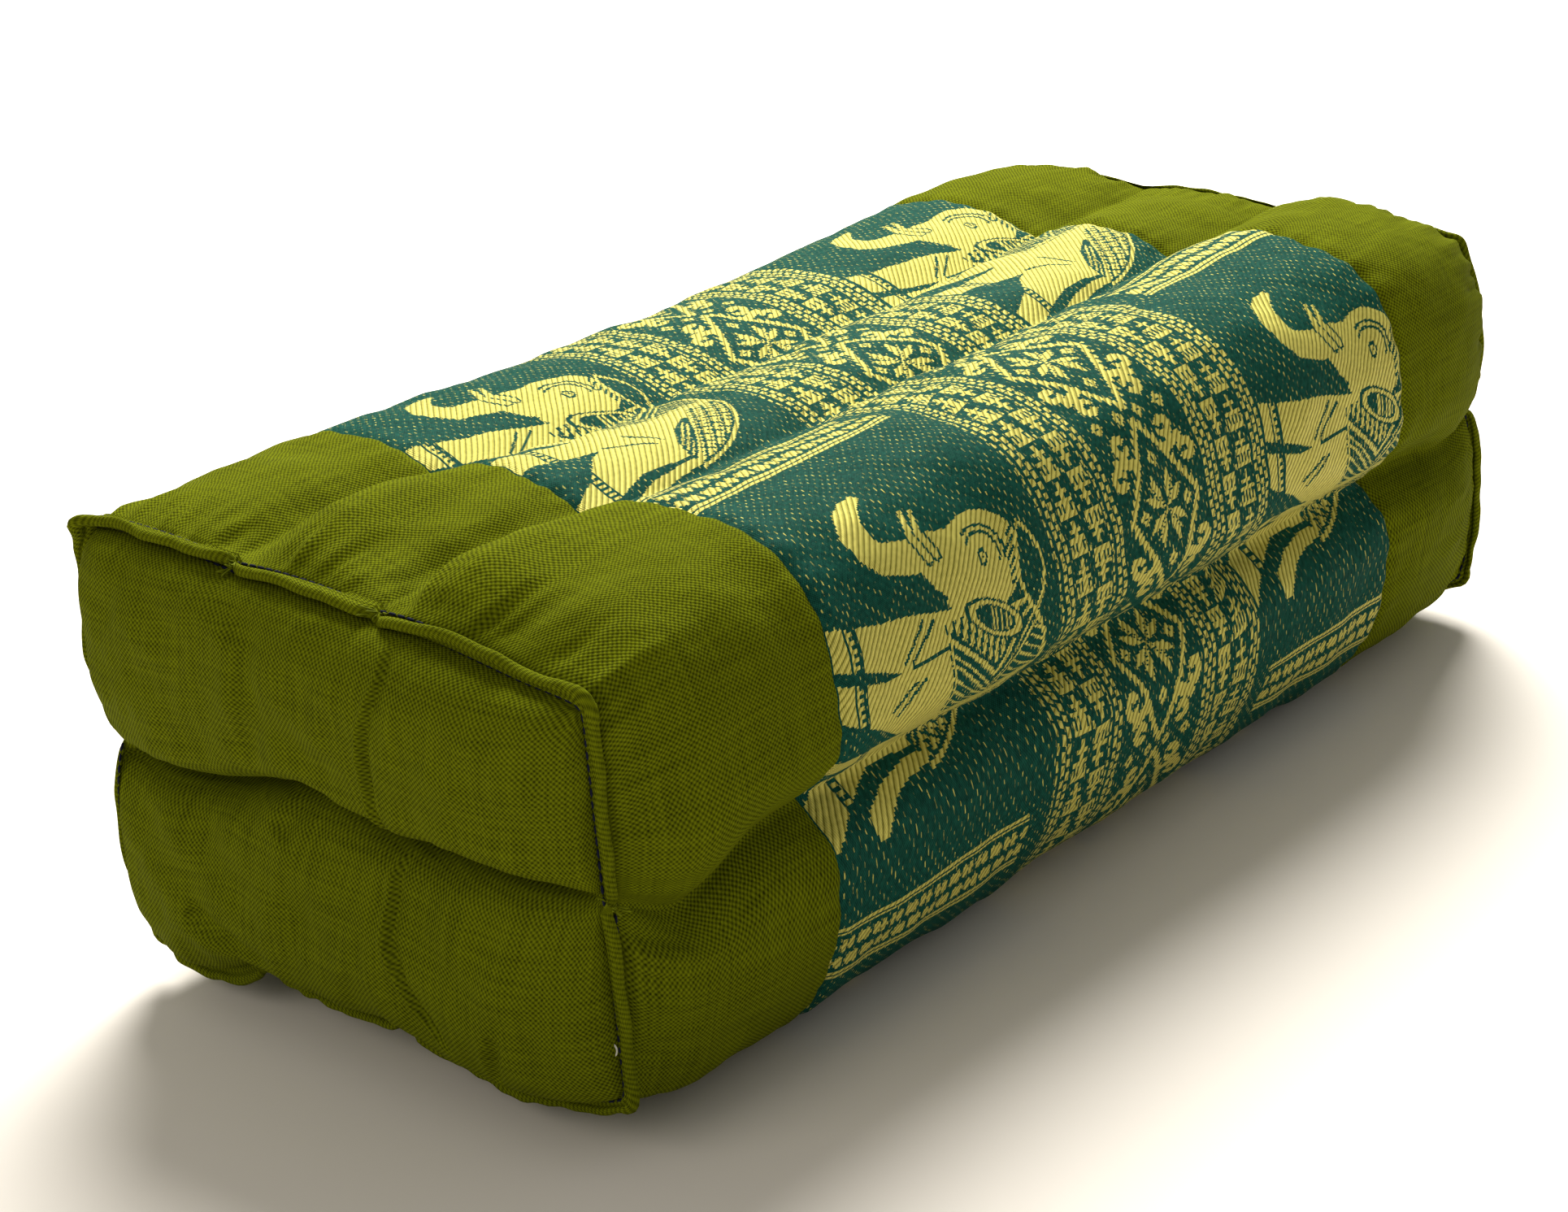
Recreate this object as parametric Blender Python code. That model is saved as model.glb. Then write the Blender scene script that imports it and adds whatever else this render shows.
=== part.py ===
"""A block cushion: six stuffed tubes, three across and two high, under one sewn cover.

The cover is a sleeve of brocade with a band of plain cotton at each end, closed by two
end panels. Each panel is sewn on with a folded rim that stands proud of the seam. The
cushion lies on its broad face. Its length runs along Y, its width along X, and the
origin is on the surface it lies on, under its middle. Lengths are in metres. Near and
far are the ends at -Y and +Y, left and right the sides at -X and +X.
"""
from math import cos, exp, pi, radians, sin

import bmesh
import bpy

# Driving dimensions
LENGTH = 0.350
WIDTH = 0.179
HEIGHT = 0.1225
SEAM_SPAN = 0.323
PIECE_GAP = 0.0003

# The section where the tubes are full: crowns, walls between tubes, and their grooves
NEAR_CROWN_DROP = 0.0035
NEAR_NARROWING = 0.0025
LEFT_CROWN = 0.1190
LEFT_SAG = 0.0045
MIDDLE_CROWN = 0.1165
GROOVE_TOP = 0.1100
GROOVE_BOTTOM = 0.0090
LOW_CROWN = -0.0035
LOW_MIDDLE_CROWN = -0.0015
WALL_X = 0.0220
SIDE_GROOVE_DEPTH = 0.0130
SIDE_GROOVE_Z = 0.0610
LOW_TUBE_INSET = 0.0030
TOP_NOTCH_REACH = 0.030
SIDE_NOTCH_REACH = 0.0170
TOP_TUBE_SQUARENESS = 4
LOW_TUBE_SQUARENESS = 3
ARCH_SQUARENESS = 2.4

# The two ends, each drawn in to a box: its band, and how its seam runs
ENDS = {
    "near": dict(facing=-1, band=0.0562, top_slope=-0.042, top_drop=0.004,
                 corner={"left": 0.0110, "right": 0.0155}),
    "far": dict(facing=1, band=0.0542, top_slope=-0.020, top_drop=0.000,
                corner={"left": 0.0140, "right": 0.0120}),
}
SEAM_X = 0.0728
SEAM_TOP = 0.1095
SEAM_DROP_START = 0.020
SEAM_DROP_LENGTH = 0.040
SEAM_BOTTOM = 0.0153
SEAM_SQUARENESS = 40
SEAM_SKEW = 0.025
TOP_SCALLOP = 0.0012
BOTTOM_SCALLOP = 0.0050
SCALLOP_SQUARENESS = 8
SIDE_BOW = 0.0050
SIDE_BOW_START = 0.3
SIDE_BOW_ROUNDNESS = 0.6
SWELL_REACH = 0.055
SWELL_POWER = 3
SWELL_ROUNDNESS = 0.65

# Where the walls between the tubes meet the end seam, as x
PINCH_X = {("right", "top"): 0.0170, ("left", "top"): -0.0260,
           ("right", "bottom"): 0.0105, ("left", "bottom"): -0.0350}

# The folded rim sewn round each end panel, and its lean towards the panel in degrees
RIM_WIDTH = 0.0045
RIM_THICKNESS = 0.0018
RIM_LEAN = 26
RIM_TOP_LEAN = 66
RIM_TOP_START = 0.9
RIM_BOW_LEAN = -15

# The end panel's crown and its crease between the upper and the lower tubes
PANEL_SQUARENESS = 6
PANEL_EDGE = 0.5
CREASE_DEPTH = 0.0095
CREASE_REACH = 0.026
CREASE_HUMP = 0.007
CREASE_HUMP_X = -0.005
CREASE_HUMP_REACH = 0.028

# Pleats in an end panel: foot and head heights, x at the middle, bow, depth and width
PLEATS = (
    dict(low=0.068, high=0.106, x=0.0190, bow=0.005, depth=0.0042, width=0.006),
    dict(low=0.072, high=0.108, x=-0.0300, bow=0.005, depth=0.0016, width=0.008),
    dict(low=0.016, high=0.064, x=0.0140, bow=0.006, depth=0.0042, width=0.007),
    dict(low=0.014, high=0.050, x=-0.0400, bow=-0.008, depth=0.0022, width=0.008),
)

# Mesh steps: one half of a corner tube, a middle tube, and the rows along the length
HALF_TUBE_STEPS = 9
MIDDLE_STEPS = 8
BAND_ROWS = 6
BROCADE_ROWS = 9
ROW_CROWDING = 1.5

# The two cloths
BOTTLE_GREEN = (0.01, 0.09, 0.06)
BROCADE_ROUGHNESS = 0.5
OLIVE_GREEN = (0.22, 0.26, 0.01)
COTTON_ROUGHNESS = 0.9


def mix(a, b, share):
    return a + (b - a) * share


def ease(share):
    """A smooth step from 0 to 1."""
    share = min(1.0, max(0.0, share))
    return share * share * (3 - 2 * share)


def notch(distance, reach):
    """How far a sewn wall still draws the cover in, from 1 at the wall to 0 at its reach."""
    return max(0.0, 1 - abs(distance) / reach) ** 2


def quarter(s, squareness):
    """A quarter outline from (1, 0) round the corner to (0, 1), square or round."""
    across, up = (1.0, 2 * s) if s < 0.5 else (2 - 2 * s, 1.0)
    size = (across ** squareness + up ** squareness) ** (1 / squareness)
    return across / size, up / size


def full_tube(s, side, level, y):
    """A stuffed corner tube; s runs from its side groove to its groove on the broad face."""
    far_share = ease(0.5 + y / SEAM_SPAN)
    reach_x = WIDTH / 2 - NEAR_NARROWING * (1 - far_share)
    if level == "bottom":
        reach_x -= LOW_TUBE_INSET
        crown, groove, squareness = LOW_CROWN, GROOVE_BOTTOM, LOW_TUBE_SQUARENESS
    else:
        groove, squareness = GROOVE_TOP, TOP_TUBE_SQUARENESS
        crown = HEIGHT - NEAR_CROWN_DROP * (1 - far_share)
        if side == "left":
            crown = LEFT_CROWN - LEFT_SAG * sin(pi * (0.5 + y / SEAM_SPAN)) ** 2
    across, up = quarter(s, squareness)
    half_width = reach_x - WALL_X
    half_height = crown - SIDE_GROOVE_Z
    draw_in = SIDE_GROOVE_DEPTH * notch(up * half_height, SIDE_NOTCH_REACH)
    dip = (groove - crown) * notch(across * half_width, TOP_NOTCH_REACH)
    x = WALL_X + across * half_width - draw_in
    return x if side == "right" else -x, SIDE_GROOVE_Z + up * half_height + dip


def seam_height(x, level, across, side, end):
    """An end seam's height along its top or bottom; across is 1 at its corner."""
    if level == "bottom":
        return mix(SEAM_BOTTOM, end["corner"][side], across)
    drop = end["top_drop"] * ease((x - SEAM_DROP_START) / SEAM_DROP_LENGTH)
    return SEAM_TOP + end["top_slope"] * x - drop


def sewn_tube(s, side, level, end):
    """The same tube at an end seam, where it is drawn in to a corner of the box."""
    across, up = quarter(s, SEAM_SQUARENESS)
    x = mix(PINCH_X[side, level], SEAM_X if side == "right" else -SEAM_X, across)
    edge = seam_height(x, level, across, side, end)
    scallop = TOP_SCALLOP if level == "top" else -BOTTOM_SCALLOP
    bow = scallop * 4 * across * (1 - across) * up ** SCALLOP_SQUARENESS
    return x, mix(SIDE_GROOVE_Z, edge, up) + bow


def full_middle(u, level):
    """A middle tube; u runs from its right groove to its left one."""
    crown, groove = LOW_MIDDLE_CROWN, GROOVE_BOTTOM
    if level == "top":
        crown, groove = MIDDLE_CROWN, GROOVE_TOP
    arch = 1 - abs(2 * u - 1) ** ARCH_SQUARENESS
    return mix(WALL_X, -WALL_X, u), mix(groove, crown, arch)


def sewn_middle(u, level, end):
    x = mix(PINCH_X["right", level], PINCH_X["left", level], u)
    scallop = TOP_SCALLOP if level == "top" else -BOTTOM_SCALLOP / 3
    return x, seam_height(x, level, 0, "left", end) + scallop * 4 * u * (1 - u)


def seam_bow(x, z, facing):
    """How far a stuffed tube pushes an upright of the seam out, between its sewn corners."""
    edge = SEAM_TOP if z > SIDE_GROOVE_Z else SEAM_BOTTOM
    along = min(1.0, max(0.0, (z - SIDE_GROOVE_Z) / (edge - SIDE_GROOVE_Z)))
    outer = ease((facing * x / SEAM_X - SIDE_BOW_START) / (1 - SIDE_BOW_START))
    return outer * sin(pi * along) ** SIDE_BOW_ROUNDNESS


def swell(from_seam):
    """How full the tubes are: drawn in at an end seam, full a hand's breadth from it."""
    short = 1 - min(1.0, from_seam / SWELL_REACH)
    return (1 - short ** SWELL_POWER) ** SWELL_ROUNDNESS


def outline(y):
    """The cover's outline at y, from the right side groove up, over and round.

    It is flat at z = 0, where the cushion's weight presses it on what it lies on.
    """
    end = ENDS["near"] if y < 0 else ENDS["far"]
    facing = end["facing"]
    from_seam = max(0.0, SEAM_SPAN / 2 - abs(y))
    share = swell(from_seam)
    shear = max(0.0, 1 - from_seam / end["band"]) ** 2
    steps = 2 * HALF_TUBE_STEPS
    points = []

    def add(full, sewn):
        out = SEAM_SKEW * sewn[0] + facing * SIDE_BOW * seam_bow(*sewn, facing)
        x, z = mix(sewn[0], full[0], share), mix(sewn[1], full[1], share)
        points.append((x, y + out * shear, max(0.0, z)))

    for level, first, second in (("top", "right", "left"), ("bottom", "left", "right")):
        for i in range(steps):
            s = i / steps
            add(full_tube(s, first, level, y), sewn_tube(s, first, level, end))
        for i in range(MIDDLE_STEPS):
            u = i / MIDDLE_STEPS if level == "top" else 1 - i / MIDDLE_STEPS
            add(full_middle(u, level), sewn_middle(u, level, end))
        for i in range(steps):
            s = 1 - i / steps
            add(full_tube(s, second, level, y), sewn_tube(s, second, level, end))
    return points


def panel_dip(x, z):
    """How far the crease and the pleats draw an end panel in at a point of its face."""
    hump = CREASE_HUMP * exp(-(((x - CREASE_HUMP_X) / CREASE_HUMP_REACH) ** 2))
    dip = CREASE_DEPTH * notch(z - SIDE_GROOVE_Z - hump, CREASE_REACH)
    for pleat in PLEATS:
        v = (z - pleat["low"]) / (pleat["high"] - pleat["low"])
        line = pleat["x"] + pleat["bow"] * (2 * v - 1) ** 2
        fade = max(0.0, 1 - abs(2 * v - 1) ** 3)
        dip += pleat["depth"] * fade * notch(x - line, pleat["width"])
    return dip


def rim_lean(x, z, facing):
    """The rim's lean: far over the panel along the top, and back where an upright bows."""
    over_top = ease((z / SEAM_TOP - RIM_TOP_START) / (1 - RIM_TOP_START))
    over_top *= 1 - ease((x - SEAM_DROP_START) / SEAM_DROP_LENGTH)
    lean = mix(RIM_LEAN, RIM_TOP_LEAN, over_top)
    return radians(mix(lean, RIM_BOW_LEAN, seam_bow(x, z, facing)))


def material(name, colour, roughness):
    made = bpy.data.materials.new(name)
    made.use_nodes = True
    shader = made.node_tree.nodes["Principled BSDF"]
    shader.inputs["Base Color"].default_value = (*colour, 1)
    shader.inputs["Roughness"].default_value = roughness
    shader.inputs["Metallic"].default_value = 0.0
    return made


def add_object(bm, name, finish, collection):
    bmesh.ops.recalc_face_normals(bm, faces=bm.faces)
    mesh = bpy.data.meshes.new(name)
    bm.to_mesh(mesh)
    bm.free()
    mesh.materials.append(finish)
    mesh.shade_smooth()
    collection.objects.link(bpy.data.objects.new(name, mesh))


def join_loops(bm, loops):
    for first, second in zip(loops, loops[1:]):
        for i in range(len(first)):
            bm.faces.new((first[i - 1], first[i], second[i], second[i - 1]))


def close_loop(bm, loop, y):
    """Closes a loop with a fan about a point inside it, which also suits a bowed loop."""
    middle = bm.verts.new((0, y, SIDE_GROOVE_Z))
    for i in range(len(loop)):
        bm.faces.new((loop[i - 1], loop[i], middle))


def sleeve_piece(name, start, end, rows, crowding, finish, collection):
    """A filled length of the sleeve; crowding above 1 sets its rows closer at the start."""
    bm = bmesh.new()
    gap = PIECE_GAP / 2 if end > start else -PIECE_GAP / 2
    loops = []
    for row in range(rows + 1):
        share = row / rows
        y = mix(start, end, share ** crowding)
        inset = gap * (1 - 2 * share)
        loops.append([bm.verts.new((px, py + inset, pz)) for px, py, pz in outline(y)])
    join_loops(bm, loops)
    close_loop(bm, loops[0], start + gap)
    close_loop(bm, loops[-1], end - gap)
    add_object(bm, name, finish, collection)


def end_panel(name, facing, finish, collection):
    """A filled end panel with its rim."""
    bm = bmesh.new()
    seam = outline(facing * SEAM_SPAN / 2)
    loops = [[], [], [], []]
    for i, (x, y, z) in enumerate(seam):
        (x0, _, z0), (x1, _, z1) = seam[i - 1], seam[(i + 1) % len(seam)]
        along = ((x1 - x0) ** 2 + (z1 - z0) ** 2) ** 0.5
        out_x, out_z = (z1 - z0) / along, (x0 - x1) / along
        lean = rim_lean(x, z, facing)
        tip, reach = RIM_WIDTH * cos(lean), RIM_WIDTH * sin(lean)
        back, thick = RIM_THICKNESS * sin(lean), RIM_THICKNESS * cos(lean)
        section = ((0, 0), (tip, reach), (tip - back, reach + thick), (-back, thick))
        for loop, (outward, forward) in zip(loops, section):
            forward += PIECE_GAP / 2
            place = (x + out_x * outward, y + facing * forward, z + out_z * outward)
            loop.append(bm.verts.new(place))
    join_loops(bm, loops)
    close_loop(bm, loops[0], facing * (SEAM_SPAN + PIECE_GAP) / 2)
    panel_face(bm, loops[-1], facing)
    add_object(bm, name, finish, collection)


def panel_face(bm, edge, facing):
    """The crowned face: a grid stretched between the four sides of its edge."""
    half, side, count = HALF_TUBE_STEPS, 2 * HALF_TUBE_STEPS, len(edge)
    across = side + MIDDLE_STEPS

    def border(i, j):
        """The edge's vertex at a border point of the grid, or None inside it."""
        if j == 0:
            return edge[half + i]
        if j == side:
            return edge[(half + 2 * across + side - i) % count]
        if i == across:
            return edge[half + across + j]
        return edge[(half - j) % count] if i == 0 else None

    def stretch(u, v, i, j):
        """A point inside the grid, from its four sides and its four corners."""
        top, bottom = border(i, 0).co, border(i, side).co
        right, left = border(0, j).co, border(across, j).co
        high = border(0, 0).co.lerp(border(across, 0).co, u)
        low = border(0, side).co.lerp(border(across, side).co, u)
        return top.lerp(bottom, v) + right.lerp(left, u) - high.lerp(low, v)

    grid = {}
    for i in range(across + 1):
        for j in range(side + 1):
            grid[i, j] = border(i, j)
            if grid[i, j] is not None:
                continue
            u, v = i / across, j / side
            point = stretch(u, v, i, j)
            crown = (1 - abs(2 * u - 1) ** PANEL_SQUARENESS)
            crown *= 1 - abs(2 * v - 1) ** PANEL_SQUARENESS
            rise = LENGTH / 2 - abs(point.y) - panel_dip(-facing * point.x, point.z)
            point.y += facing * rise * crown ** PANEL_EDGE
            grid[i, j] = bm.verts.new(point)
    for i in range(across):
        for j in range(side):
            bm.faces.new((grid[i, j], grid[i + 1, j], grid[i + 1, j + 1], grid[i, j + 1]))


def build():
    for old in list(bpy.data.objects):
        bpy.data.objects.remove(old)
    collection = bpy.data.collections.new("rectangular_cushion")
    bpy.context.scene.collection.children.link(collection)
    brocade = material("brocade", BOTTLE_GREEN, BROCADE_ROUGHNESS)
    cotton = material("plain_cotton", OLIVE_GREEN, COTTON_ROUGHNESS)
    seam = SEAM_SPAN / 2
    sleeve_piece("brocade_sleeve", ENDS["near"]["band"] - seam, seam - ENDS["far"]["band"],
                 BROCADE_ROWS, 1, brocade, collection)
    for name, end in ENDS.items():
        facing = end["facing"]
        sleeve_piece(f"cotton_band_{name}", facing * seam, facing * (seam - end["band"]),
                     BAND_ROWS, ROW_CROWDING, cotton, collection)
        end_panel(f"end_panel_{name}", facing, cotton, collection)


build()
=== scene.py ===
"""The looks of a block cushion: six stuffed tubes, three across and two high, in one cover.

The cover is a sleeve of gold and green brocade with a band of plain olive cotton at each
end, closed by two end panels whose seam allowances stand out as folded rims. Lengths are
in metres. Near and far are the ends at -Y and +Y, left and right the sides at -X and +X.
"""
import math
from functools import partialmethod, reduce

import bpy
import numpy as np
from mathutils import Matrix, Vector


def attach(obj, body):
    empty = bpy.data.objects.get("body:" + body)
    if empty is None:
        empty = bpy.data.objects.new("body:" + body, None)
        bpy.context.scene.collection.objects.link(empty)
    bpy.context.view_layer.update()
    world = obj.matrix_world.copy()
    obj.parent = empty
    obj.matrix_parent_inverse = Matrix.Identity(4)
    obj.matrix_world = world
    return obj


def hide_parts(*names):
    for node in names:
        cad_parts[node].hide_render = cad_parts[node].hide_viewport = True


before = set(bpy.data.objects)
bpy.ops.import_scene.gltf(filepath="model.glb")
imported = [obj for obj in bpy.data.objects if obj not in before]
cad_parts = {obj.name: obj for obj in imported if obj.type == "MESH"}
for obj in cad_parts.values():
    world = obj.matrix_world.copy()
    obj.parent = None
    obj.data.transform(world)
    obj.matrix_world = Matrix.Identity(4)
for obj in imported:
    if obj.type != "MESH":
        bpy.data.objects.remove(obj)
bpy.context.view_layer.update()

# The room: a plain pale floor, even pale light and two soft lamps, and the place from which the
# cushion is seen, a little above it and past its near right corner.
FLOOR_HALF = 3.0
FLOOR_TONE = (0.8, 0.755, 0.69, 1)
FLOOR_ROUGHNESS = 0.85
CAMERA_PLACE = Vector((0.4522, -0.5095, 0.333))
CAMERA_AZIMUTH = math.radians(43.14)
CAMERA_ELEVATION = math.radians(22.61)
CAMERA_ROLL = math.radians(-4.67)
SENSOR_WIDTH = 36.0
FOCAL_LENGTH = 69.05
LIT_PLACE = Vector((0, 0, 0.06))
LIGHT_SIZE = 1.0
WINDOW = dict(place=(-0.55, 0.75, 1.15), watts=57, colour=(1.0, 0.98, 0.94))
FILL = dict(place=(-0.2, -1.3, 0.9), watts=4.5, colour=(1.0, 0.93, 0.82))
ROOM_TONE = (1.0, 0.97, 0.91, 1)
ROOM_STRENGTH = 0.36

scene = bpy.context.scene
camera_data = bpy.data.cameras.new("camera")
camera_data.sensor_width = SENSOR_WIDTH
camera_data.lens = FOCAL_LENGTH
camera = bpy.data.objects.new("camera", camera_data)
scene.collection.objects.link(camera)
aim = Matrix.Rotation(CAMERA_AZIMUTH, 4, "Z")
aim @= Matrix.Rotation(math.pi / 2 - CAMERA_ELEVATION, 4, "X")
aim @= Matrix.Rotation(CAMERA_ROLL, 4, "Z")
camera.matrix_world = Matrix.Translation(CAMERA_PLACE) @ aim
scene.camera = camera


def mesh_object(name, points, faces, *materials):
    """A smooth mesh object in the scene."""
    mesh = bpy.data.meshes.new(name)
    mesh.from_pydata([tuple(point) for point in points], [], [tuple(face) for face in faces])
    mesh.shade_smooth()
    for material in materials:
        mesh.materials.append(material)
    made = bpy.data.objects.new(name, mesh)
    scene.collection.objects.link(made)
    return made


def new_material(name, sockets):
    """A material and its shader, with some of the shader's sockets set."""
    made = bpy.data.materials.new(name)
    made.use_nodes = True
    shader = made.node_tree.nodes["Principled BSDF"]
    for key, value in sockets.items():
        shader.inputs[key].default_value = value
    return made, shader


floor_look, _ = new_material("floor", {"Base Color": FLOOR_TONE, "Roughness": FLOOR_ROUGHNESS})
floor_corners = [(x * FLOOR_HALF, y * FLOOR_HALF, 0) for x, y in ((-1, -1), (1, -1), (1, 1), (-1, 1))]
floor = mesh_object("floor", floor_corners, [(0, 1, 2, 3)], floor_look)


def soft_light(name, place, watts, colour):
    """A round soft light at a place, turned to the cushion."""
    light = bpy.data.lights.new(name, "AREA")
    light.shape = "DISK"
    light.size = LIGHT_SIZE
    light.energy = watts
    light.color = colour
    lamp = bpy.data.objects.new(name, light)
    lamp.location = place
    lamp.rotation_euler = (LIT_PLACE - Vector(place)).to_track_quat("-Z", "Y").to_euler()
    scene.collection.objects.link(lamp)


soft_light("window", **WINDOW)
soft_light("fill", **FILL)
world = bpy.data.worlds.new("room")
world.use_nodes = True
background = world.node_tree.nodes["Background"]
background.inputs["Color"].default_value = ROOM_TONE
background.inputs["Strength"].default_value = ROOM_STRENGTH
scene.world = world
scene.view_settings.view_transform = "Standard"

# The sleeve as a form: cloth drawn in over six tubes of stuffing by sewn walls, full at
# mid-length and drawn in to a box at each end seam. The brocade and the two cotton bands are
# lengths of this one sleeve, so they share its shape.
LENGTH = 0.35
WIDTH = 0.179
HEIGHT = 0.1225
END_SEAM = 0.1615
NEAR_JOIN = -0.1053
FAR_JOIN = 0.1073
NEAR_CROWN_DROP = 0.0035
NEAR_NARROWING = 0.0025
LEFT_CROWN = 0.119
LEFT_SAG = 0.0045
MIDDLE_CROWN = 0.1165
GROOVE_TOP = 0.11
GROOVE_BOTTOM = 0.009
LOW_CROWN = -0.0035
LOW_MIDDLE_CROWN = -0.0015
WALL_X = 0.022
SIDE_GROOVE_DEPTH = 0.013
SIDE_GROOVE_Z = 0.061
LOW_TUBE_INSET = 0.003
TOP_NOTCH_REACH = 0.03
SIDE_NOTCH_REACH = 0.017
TUBE_SQUARENESS = {"top": 4, "bottom": 3}
ARCH_SQUARENESS = 2.4
SEAM_X = 0.0728
SEAM_TOP = 0.1095
SEAM_DROP_START = 0.02
SEAM_DROP_LENGTH = 0.04
SEAM_BOTTOM = 0.0153
SEAM_SQUARENESS = 40
ROUND_SQUARENESS = 6
SEAM_SKEW = 0.025
SCALLOP = {"top": 0.0012, "bottom": -0.005}
SCALLOP_SQUARENESS = 8
SIDE_BOW = 0.005
SIDE_BOW_START = 0.3
SIDE_BOW_ROUNDNESS = 0.6
SHOULDERS = ((-0.01, 0.015, 0.0029), (0.04, 0.012, 0.0019))
SHOULDER_FULL = 0.045
SHOULDER_NONE = 0.105
SHOULDER_RISE = 0.035
SAG_FROM_SEAM = 0.017
SAG_REACH = 0.013
SAG_HALF_HEIGHT = 0.02
SAG_FROM_X = 0.04
SAG_OVER_X = 0.02
PUFF_FROM_SEAM = 0.019
PUFF_REACH = {"near": 0.014, "far": 0.034}
PUFF_LEAN = 0.0036
PUFF_CALM = 0.007
PUFF_FLOOR = 0.085
PUFF_RISE = 0.02
PUFF_WALL_REACH = 0.012
PUFFS = ((0.032, 0.01, 0.0056), (0.0165, 0.0045, -0.0018),
         (-0.011, 0.01, 0.006), (-0.028, 0.0045, -0.0018))
SWELL_REACH = 0.055
SWELL_POWER = 3
SWELL_ROUNDNESS = 0.65
ENDS = {
    "near": dict(facing=-1, sag=0.008, band=0.0562, top_slope=-0.042, top_drop=0.004,
                 corner={"left": 0.011, "right": 0.0155}, round_corners=()),
    "far": dict(facing=1, sag=0.003, band=0.0542, top_slope=-0.02, top_drop=0,
                corner={"left": 0.014, "right": 0.012}, round_corners=(("right", "top"),)),
}
PINCH_X = {("right", "top"): 0.017, ("left", "top"): -0.026,
           ("right", "bottom"): 0.0105, ("left", "bottom"): -0.035}
TUBE_COLUMNS = 92
MIDDLE_COLUMNS = 36
COLUMNS = 4 * TUBE_COLUMNS + 2 * MIDDLE_COLUMNS


def mix(a, b, share):
    """What lies the given share of the way from a to b."""
    return a + (b - a) * share


def ease(share):
    """The share, held between 0 and 1, with a gentle start and end."""
    share = np.clip(share, 0, 1)
    return share * share * (3 - 2 * share)


def bump(distance):
    """A soft hump: 1 at no distance, and nothing by 2 or so."""
    return np.exp(-np.square(distance))


def notch(distance, reach):
    """How far a sewn wall draws the cloth in, from 1 at the wall to 0 at its reach."""
    return np.clip(1 - np.abs(distance) / reach, 0, None) ** 2


def quarter(s, squareness):
    """Points of a quarter outline from (1, 0) round the corner to (0, 1)."""
    across, up = np.minimum(1, 2 - 2 * s), np.minimum(1, 2 * s)
    size = (across ** squareness + up ** squareness) ** (1 / squareness)
    return across / size, up / size


def full_tube(s, side, level, y):
    """A stuffed corner tube, from its side groove to its groove on the broad face."""
    along = 0.5 + y / (2 * END_SEAM)
    far_share = ease(along)
    reach_x = WIDTH / 2 - NEAR_NARROWING * (1 - far_share)
    crown = HEIGHT - NEAR_CROWN_DROP * (1 - far_share)
    groove = GROOVE_TOP
    if level == "bottom":
        reach_x = reach_x - LOW_TUBE_INSET
        crown, groove = LOW_CROWN, GROOVE_BOTTOM
    elif side == "left":
        crown = LEFT_CROWN - LEFT_SAG * np.sin(np.pi * along) ** 2
    across, up = quarter(s, TUBE_SQUARENESS[level])
    half_width = reach_x - WALL_X
    half_height = crown - SIDE_GROOVE_Z
    draw_in = SIDE_GROOVE_DEPTH * notch(up * half_height, SIDE_NOTCH_REACH)
    dip = (groove - crown) * notch(across * half_width, TOP_NOTCH_REACH)
    x = WALL_X + across * half_width - draw_in
    return x if side == "right" else -x, SIDE_GROOVE_Z + up * half_height + dip


def seam_height(x, level, across, side, end):
    """How high the upper or lower edge of an end seam is."""
    if level == "bottom":
        return mix(SEAM_BOTTOM, end["corner"][side], across)
    drop = end["top_drop"] * ease((x - SEAM_DROP_START) / SEAM_DROP_LENGTH)
    return SEAM_TOP + end["top_slope"] * x - drop


def sewn_tube(s, side, level, end):
    """The same tube at an end seam, where it is drawn in to a corner of the box."""
    is_round = (side, level) in end["round_corners"]
    across, up = quarter(s, ROUND_SQUARENESS if is_round else SEAM_SQUARENESS)
    x = mix(PINCH_X[side, level], SEAM_X if side == "right" else -SEAM_X, across)
    edge = seam_height(x, level, across, side, end)
    bow = SCALLOP[level] * 4 * across * (1 - across) * up ** SCALLOP_SQUARENESS
    return x, mix(SIDE_GROOVE_Z, edge, up) + bow


def full_middle(u, level):
    """A stuffed middle tube, from the right wall to the left."""
    crown, groove = (MIDDLE_CROWN, GROOVE_TOP) if level == "top" else (LOW_MIDDLE_CROWN, GROOVE_BOTTOM)
    arch = 1 - np.abs(2 * u - 1) ** ARCH_SQUARENESS
    return mix(WALL_X, -WALL_X, u), mix(groove, crown, arch)


def sewn_middle(u, level, end):
    """The same tube at an end seam."""
    x = mix(PINCH_X["right", level], PINCH_X["left", level], u)
    scallop = SCALLOP[level] if level == "top" else SCALLOP[level] / 3
    return x, seam_height(x, level, 0, "left", end) + scallop * 4 * u * (1 - u)


def seam_bow(x, z, facing):
    """How far a stuffed tube pushes an upright of the seam out, between its sewn corners."""
    edge = np.where(z > SIDE_GROOVE_Z, SEAM_TOP, SEAM_BOTTOM)
    along = np.clip((z - SIDE_GROOVE_Z) / (edge - SIDE_GROOVE_Z), 0, 1)
    outer = ease((facing * x / SEAM_X - SIDE_BOW_START) / (1 - SIDE_BOW_START))
    return outer * np.sin(np.pi * along) ** SIDE_BOW_ROUNDNESS


def shoulder_drop(x, y):
    """How much lower the left shoulders of the top's tubes lie."""
    drop = sum(depth * bump((x - place) / reach) for place, reach, depth in SHOULDERS)
    return drop * (1 - ease((np.abs(y) - SHOULDER_FULL) / (SHOULDER_NONE - SHOULDER_FULL)))


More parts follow.
